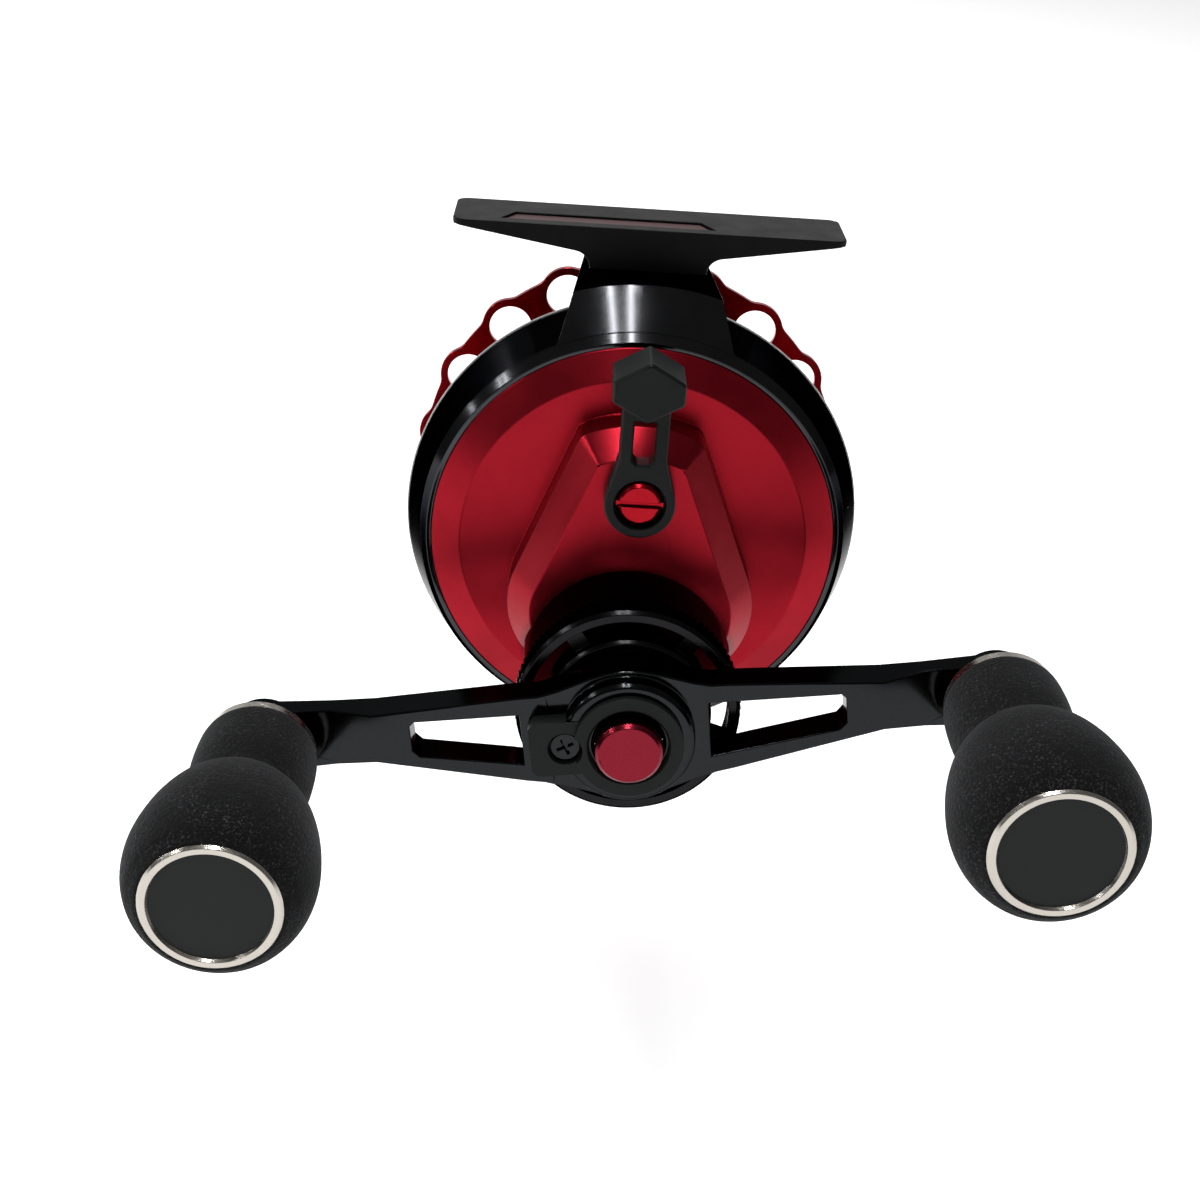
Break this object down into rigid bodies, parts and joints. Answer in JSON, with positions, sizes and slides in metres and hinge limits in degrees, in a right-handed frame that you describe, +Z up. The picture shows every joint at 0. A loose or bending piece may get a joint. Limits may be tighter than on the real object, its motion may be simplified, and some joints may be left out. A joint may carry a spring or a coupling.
{
  "type": "geared side-drum casting reel",
  "caption": "Geared side-drum fishing reel with a ported drum, a double handle with foam knobs, a ring drag wheel and a thumb-operated clutch lever.",
  "frame": {"origin": "centre of the foot's top face, where the rod's reel seat clamps it", "axes": "+Z up out of the foot's top face, +X along the foot, the handle and the drive side face -Y, the drum is on the +Y side"},
  "size_m": [0.1512, 0.1251, 0.0933],
  "materials": {
    "black_alloy": "satin black anodised alloy",
    "red_alloy": "red anodised, fine radial brushing",
    "silver_steel": "bright turned steel",
    "bearing_steel": "ground bearing steel",
    "brass_gear": "machined brass",
    "foam_grip": "matt closed-cell foam, speckled",
    "black_plastic": "smooth black plastic",
    "drag_fibre": "woven carbon fibre"
  },
  "bodies": {
    "frame": {"frame": "black_alloy", "reel_foot": "black_alloy", "foot_screws": "silver_steel", "bezel_ring": "black_alloy", "gear_cover": "red_alloy", "cover_screws": "silver_steel", "spool_bearing_rear": "bearing_steel", "spool_bearing_front": "bearing_steel", "drive_bush": "brass_gear", "one_way_bearing": "bearing_steel", "lever_bush": "brass_gear", "yoke_posts": "silver_steel", "clutch_springs": "silver_steel"},
    "clutch_lever": {"clutch_lever": "black_alloy", "lever_pad": "black_alloy", "lever_screw": "red_alloy", "clutch_cam": "silver_steel"},
    "clutch_yoke": {"clutch_yoke": "black_plastic"},
    "pinion": {"pinion": "brass_gear"},
    "spool": {"spool": "red_alloy", "spool_shaft": "silver_steel", "cross_pin": "silver_steel", "spool_washer": "silver_steel", "spool_nut": "red_alloy"},
    "handle": {"drive_shaft": "silver_steel", "drive_gear": "brass_gear", "drag_washers": "drag_fibre", "pressure_plate": "silver_steel", "drive_sleeve": "silver_steel", "drag_springs": "silver_steel", "handle_arm": "black_alloy", "handle_nut": "silver_steel", "handle_retainer": "black_alloy", "retainer_screw": "black_alloy", "nut_cap": "red_alloy", "knob_axle_left": "silver_steel", "knob_axle_right": "silver_steel", "knob_collar_left": "silver_steel", "knob_collar_right": "silver_steel", "axle_screw_left": "silver_steel", "axle_screw_right": "silver_steel"},
    "drag_wheel": {"drag_wheel": "black_alloy"},
    "knob_left": {"knob_grip_left": "foam_grip", "knob_core_left": "black_plastic", "knob_bearings_left": "bearing_steel", "knob_ring_left": "silver_steel", "knob_cap_left": "black_plastic"},
    "knob_right": {"knob_grip_right": "foam_grip", "knob_core_right": "black_plastic", "knob_bearings_right": "bearing_steel", "knob_ring_right": "silver_steel", "knob_cap_right": "black_plastic"}
  },
  "joints": [
    {"name": "handle_spin", "type": "hinge", "parent": "frame", "child": "handle", "pos_m": [0, -0.05, -0.0698], "axis": [0, -1, 0], "continuous": true},
    {"name": "spool_spin", "type": "hinge", "parent": "frame", "child": "spool", "pos_m": [0, 0, -0.0518], "axis": [0, -1, 0], "continuous": true},
    {"name": "clutch_lever_turn", "type": "hinge", "parent": "frame", "child": "clutch_lever", "pos_m": [0, -0.04, -0.0376], "axis": [0, -1, 0], "range_deg": [0, 30]},
    {"name": "clutch_slide", "type": "slide", "parent": "frame", "child": "clutch_yoke", "axis": [0, 1, 0], "range_m": [0, 0.0018]},
    {"name": "pinion_spin", "type": "hinge", "parent": "clutch_yoke", "child": "pinion", "pos_m": [0, -0.03, -0.0518], "axis": [0, -1, 0], "continuous": true},
    {"name": "drag_wheel_turn", "type": "hinge", "parent": "handle", "child": "drag_wheel", "pos_m": [0, -0.054, -0.0698], "axis": [0, -1, 0], "range_deg": [-180, 180]},
    {"name": "knob_left_spin", "type": "hinge", "parent": "handle", "child": "knob_left", "pos_m": [-0.06083, -0.08, -0.07813], "axis": [0, -1, 0], "continuous": true},
    {"name": "knob_right_spin", "type": "hinge", "parent": "handle", "child": "knob_right", "pos_m": [0.06083, -0.08, -0.06147], "axis": [0, -1, 0], "continuous": true}
  ],
  "couplings": [
    {"joint": "spool_spin", "follows": "handle_spin", "ratio": -3},
    {"joint": "pinion_spin", "follows": "handle_spin", "ratio": -3},
    {"joint": "clutch_slide", "follows": "clutch_lever_turn", "m_per_rad": 0.0034}
  ]
}
